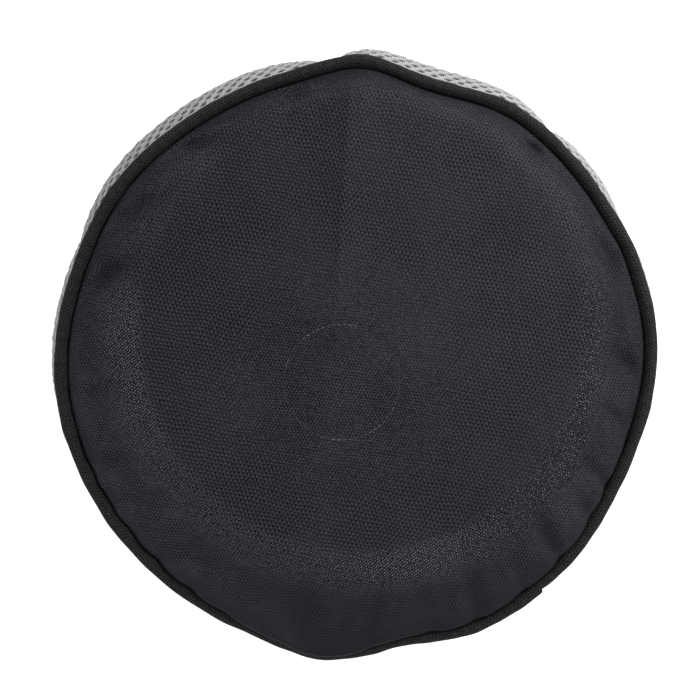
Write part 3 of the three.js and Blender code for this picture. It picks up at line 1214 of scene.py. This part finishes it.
def band_look(colours):
    """Soft knitted yarn, brightest on its strands. Painted shade darkens the holes' walls with depth."""
    look = Look("band_yarn")
    vector, x, y = look.flat_place()
    bent = look.noise(vector, 0.5, seed=1.0) * 5.0
    strand = look.cosine(x * 5.2 + y * 6.1 + bent) * look.cosine(x * 5.2 - y * 6.1 - bent)
    tone = look.noise(vector, 0.12, seed=2.0)
    fuzz = look.noise(vector, 1.7, 3.0, seed=3.0)
    hollow = look.rise(look.attribute("hollow"), 0.0, 0.8)
    # Painted shade: the holes grow darker with their depth
    shade = look.mix(hollow, colour(colours.band_yarn), colour(colours.band_hole_shade))
    shade = look.scale(shade, 0.13 + 0.3 * strand + 0.24 * tone + 1.3 * fuzz)
    return look.finish(
        Base_Color=shade,
        Roughness=0.85,
        Specular_IOR_Level=0.2,
        Normal=look.bump(strand * 0.5 + fuzz * 2.0, 0.2 * MM, 0.8),
    )


def band_back_look(colours, sizes):
    """The same yarn seen from inside the hat, its holes drawn in the shader as painted shade."""
    look = Look("band_inner_yarn")
    vector, x, y = look.flat_place()
    pace = 2 * np.pi * MM / sizes.hole_pitch
    row_pace = np.pi * MM / sizes.row_pitch
    hole = look.rise(look.cosine(x * pace) * look.cosine(y * row_pace), 0.35, 0.8)
    fuzz = look.noise(vector, 1.7, 3.0)
    # The holes are painted dark as shade
    shade = look.mix(hole, colour(colours.band_yarn), colour(colours.band_hole_shade))
    shade = look.scale(shade, 0.65 + 0.6 * fuzz)
    return look.finish(
        Base_Color=shade,
        Roughness=0.85,
        Specular_IOR_Level=0.2,
        Normal=look.bump(fuzz - hole, 0.4 * MM, 0.8),
    )


def hem_line(sizes):
    """The row of stitches that holds the hem, on the outside of the band."""
    chart = band_chart()
    length = 2 * np.pi * RIM_RADIUS
    middles = even_places(length, sizes.hem_pitch)
    level = HEM_HEIGHT - HEM_STITCH_DROP
    shares_down = np.linspace(0, 1, BAND_LEVELS)[:OUTSIDE_LEVELS]
    share = np.array([np.interp(-level, -row[:OUTSIDE_LEVELS], shares_down) for row in chart[1]])

    def line_at(place):
        turn = place / length
        x = (turn % 1) * BAND_COLUMNS
        down = np.interp(x, np.arange(BAND_COLUMNS + 1), np.append(share, share[0]))
        points = band_points(chart, turn, down, 0.0)
        out = around(1.0, BACK_SEAM_ANGLE + 360 * turn, np.zeros(2))
        sides = np.broadcast_to([0.0, 0.0, 1.0], points.shape)
        return points, lifted(out, np.zeros_like(turn)), sides

    return middles, np.ones(len(middles)), line_at


# What a user would change

def span(name, description, value):
    """A length that a user may set. Its default is given in millimetres."""
    return FloatProperty(name=name, description=description, default=value * MM, unit="LENGTH")


def tint(name, description, value):
    """A colour that a user may set."""
    return FloatVectorProperty(name=name, description=description, default=value, subtype="COLOR")


def light_strength(name, description, value, unit="NONE"):
    """A light's strength that a user may set."""
    return FloatProperty(name=name, description=description, default=value, min=0, unit=unit)


class KufiSizes(bpy.types.PropertyGroup):
    """Sizes of the cloth and its threads."""

    crown_thick: span("Crown cloth", "Thickness of the crown's two layers of net", 0.7)
    ring_radius: span("Stitch ring", "Radius of the ring of stitches in the crown", 17.8)
    ring_pitch: span("Ring stitch", "Length of the ring for each stitch and its gap", 1.7)
    hole_pitch: span("Hole pitch", "From hole to hole round the band", 4.4)
    row_pitch: span("Row pitch", "From a row of holes to the next one", 2.18)
    hole_long: span("Hole length", "Long way across a hole of the band", 2.6)
    hole_wide: span("Hole width", "Short way across a hole of the band", 1.5)
    hole_depth: span("Hole depth", "From the band's face to the bottom of a hole", 1.1)
    hem_pitch: span("Hem stitch", "Length of the hem for each stitch and its gap", 2.8)


class KufiColours(bpy.types.PropertyGroup):
    """Colours of the cloth and its threads."""

    crown_thread: tint("Crown thread", "Threads of the crown's upper net", (0.029, 0.0302, 0.0357))
    crown_gap: tint("Crown hole", "Holes that the crown's two nets share", (0.0025, 0.003, 0.0052))
    # The colour of the glints painted round the crown's flat disc
    crown_painted_glint: tint("Crown glint", "Threads stretched over the edge of the crown's disc", (0.3, 0.3, 0.3))
    ring_thread: tint("Ring thread", "Thread of the ring of stitches", (0.08, 0.08, 0.083))
    piping_thread: tint("Piping thread", "Threads of the net over the piping", (0.017, 0.018, 0.0175))
    piping_gap: tint("Piping hole", "Holes of the net over the piping", (0.002, 0.002, 0.002))
    band_yarn: tint("Band yarn", "Yarn of the side band", (0.36, 0.353, 0.357))
    # Painted shade at the bottom of the band's holes, also used for the inner layer's holes
    band_hole_shade: tint("Band hole", "Bottom of the band's holes", (0.03, 0.03, 0.034))
    hem_thread: tint("Hem thread", "Thread of the hem's stitches", (0.46, 0.455, 0.45))


class KufiStage(bpy.types.PropertyGroup):
    """The floor, the light and the camera's distance."""

    floor_colour: tint("Floor", "Colour of the floor", (0.93, 0.93, 0.93))
    floor_glow: light_strength("Floor's glow", "Light of a lit table under the hat", 0.5)
    sky: light_strength("Surrounding light", "Strength of the even white surroundings", 0.94)
    key: light_strength("Main light", "Power of the broad light at the upper right", 3.3, "POWER")
    fill: light_strength("Fill light", "Power of the weaker light at the front left", 1.0, "POWER")
    camera_height: span("Camera height", "Height of the camera above the crown's seam", 1200)
    view_width: span("View width", "Width of the picture at the height of the seam", 217)


# Operators

class KUFI_OT_crown(bpy.types.Operator):
    """Make the crown's cloth and its ring of stitches"""

    bl_idname = "kufi.crown"
    bl_label = "Crown"

    def execute(self, context):
        sizes = context.scene.kufi_sizes
        colours = context.scene.kufi_colours
        thick = sizes.crown_thick / MM
        crown = add_piece("crown_cloth", crown_mesh(thick), crown_look(colours))
        shell = crown.modifiers.new("cloth thickness", "SOLIDIFY")
        shell.thickness = sizes.crown_thick
        shell.offset = 0.0
        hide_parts("crown")

        ring = stitch_mesh("crown_stitch_ring", ring_line(sizes), RING_STITCH)
        look = thread_look("ring_thread", colours.ring_thread)
        stitches = add_piece("crown_stitch_ring", ring, look)
        return {"FINISHED"}


class KUFI_OT_piping(bpy.types.Operator):
    """Make the piping round the crown's seam"""

    bl_idname = "kufi.piping"
    bl_label = "Piping"

    def execute(self, context):
        look = piping_look(context.scene.kufi_colours)
        piping = add_piece("piping_cover", piping_mesh(), look)
        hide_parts("crown_piping")
        return {"FINISHED"}


class KUFI_OT_band(bpy.types.Operator):
    """Make the side band's face, its inner layer and its hem stitches"""

    bl_idname = "kufi.band"
    bl_label = "Side band"

    def execute(self, context):
        sizes = context.scene.kufi_sizes
        colours = context.scene.kufi_colours
        face = add_piece("band_face", net_mesh(sizes), band_look(colours))
        back = add_piece("band_back", back_mesh(), band_back_look(colours, sizes))
        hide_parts("side_band")
        row = stitch_mesh("hem_stitches", hem_line(sizes), HEM_STITCH)
        look = thread_look("hem_thread", colours.hem_thread)
        stitches = add_piece("hem_stitches", row, look)
        return {"FINISHED"}


class KUFI_OT_stage(bpy.types.Operator):
    """Make the floor, the lights and the camera straight above"""

    bl_idname = "kufi.stage"
    bl_label = "Stage"

    def execute(self, context):
        stage = context.scene.kufi_stage
        add_floor(stage)
        add_lights(stage)
        add_camera(stage)
        context.scene.view_settings.view_transform = "Standard"
        return {"FINISHED"}


def add_floor(stage):
    """A plain pale floor that glows a little."""
    mesh = bpy.data.meshes.new("floor")
    half = FLOOR_WIDTH / 2
    corners = [(-half, -half, 0), (half, -half, 0), (half, half, 0), (-half, half, 0)]
    mesh.from_pydata(corners, [], [(0, 1, 2, 3)])
    mesh.materials.append(Look("floor").finish(
        Base_Color=colour(stage.floor_colour),
        Roughness=0.9,
        Emission_Color=WHITE,
        Emission_Strength=stage.floor_glow,
    ))
    add_object("floor", mesh)


def add_area_light(name, place, size, power):
    """A square light that shines at the hat's middle and isn't seen itself."""
    light = bpy.data.lights.new(name, "AREA")
    light.size = size
    light.energy = power
    lamp = add_object(name, light)
    middle = (CAD_BOX[0] + CAD_BOX[1]) / 2
    lamp.location = place
    lamp.rotation_euler = (lamp.location - middle).to_track_quat("Z", "Y").to_euler()
    lamp.visible_camera = False


def add_lights(stage):
    """Two broad lights in even white surroundings."""
    add_area_light("main_light", place=(0.4, 0.34, 0.36), size=0.3, power=stage.key)
    add_area_light("fill_light", place=(-0.9, -0.8, 1.0), size=1.0, power=stage.fill)
    world = bpy.data.worlds.new("surroundings")
    world.use_nodes = True
    sky = world.node_tree.nodes["Background"]
    sky.inputs["Color"].default_value = WHITE
    sky.inputs["Strength"].default_value = stage.sky
    bpy.context.scene.world = world


def add_camera(stage):
    """A camera that looks straight down, with the hat's back at the top of the picture."""
    data = bpy.data.cameras.new("camera")
    data.lens = stage.camera_height * data.sensor_width / stage.view_width
    data.clip_end = 20.0
    camera = add_object("camera", data)
    camera.location = (*PICTURE_MIDDLE * MM, SEAM_HEIGHT * MM + stage.camera_height)
    bpy.context.scene.camera = camera


class KUFI_PT_pieces(bpy.types.Panel):
    """The kufi's pieces, sizes, colours and lights"""

    bl_idname = "KUFI_PT_pieces"
    bl_label = "Kufi"
    bl_space_type = "VIEW_3D"
    bl_region_type = "UI"
    bl_category = "Kufi"

    def draw(self, context):
        layout = self.layout
        for operator in OPERATORS:
            layout.operator(operator.bl_idname)
        for group in (context.scene.kufi_sizes, context.scene.kufi_colours, context.scene.kufi_stage):
            box = layout.box()
            for name in group.__annotations__:
                box.prop(group, name)


OPERATORS = (KUFI_OT_crown, KUFI_OT_piping, KUFI_OT_band, KUFI_OT_stage)
GROUPS = {"kufi_sizes": KufiSizes, "kufi_colours": KufiColours, "kufi_stage": KufiStage}


def register():
    for made in (*GROUPS.values(), *OPERATORS, KUFI_PT_pieces):
        bpy.utils.register_class(made)
    for name, group in GROUPS.items():
        setattr(bpy.types.Scene, name, PointerProperty(type=group))


def unregister():
    for name in GROUPS:
        delattr(bpy.types.Scene, name)
    for made in (KUFI_PT_pieces, *reversed(OPERATORS), *reversed(GROUPS.values())):
        bpy.utils.unregister_class(made)


def main():
    register()
    bpy.ops.kufi.crown()
    bpy.ops.kufi.piping()
    bpy.ops.kufi.band()
    bpy.ops.kufi.stage()


if __name__ == "__main__":
    main()
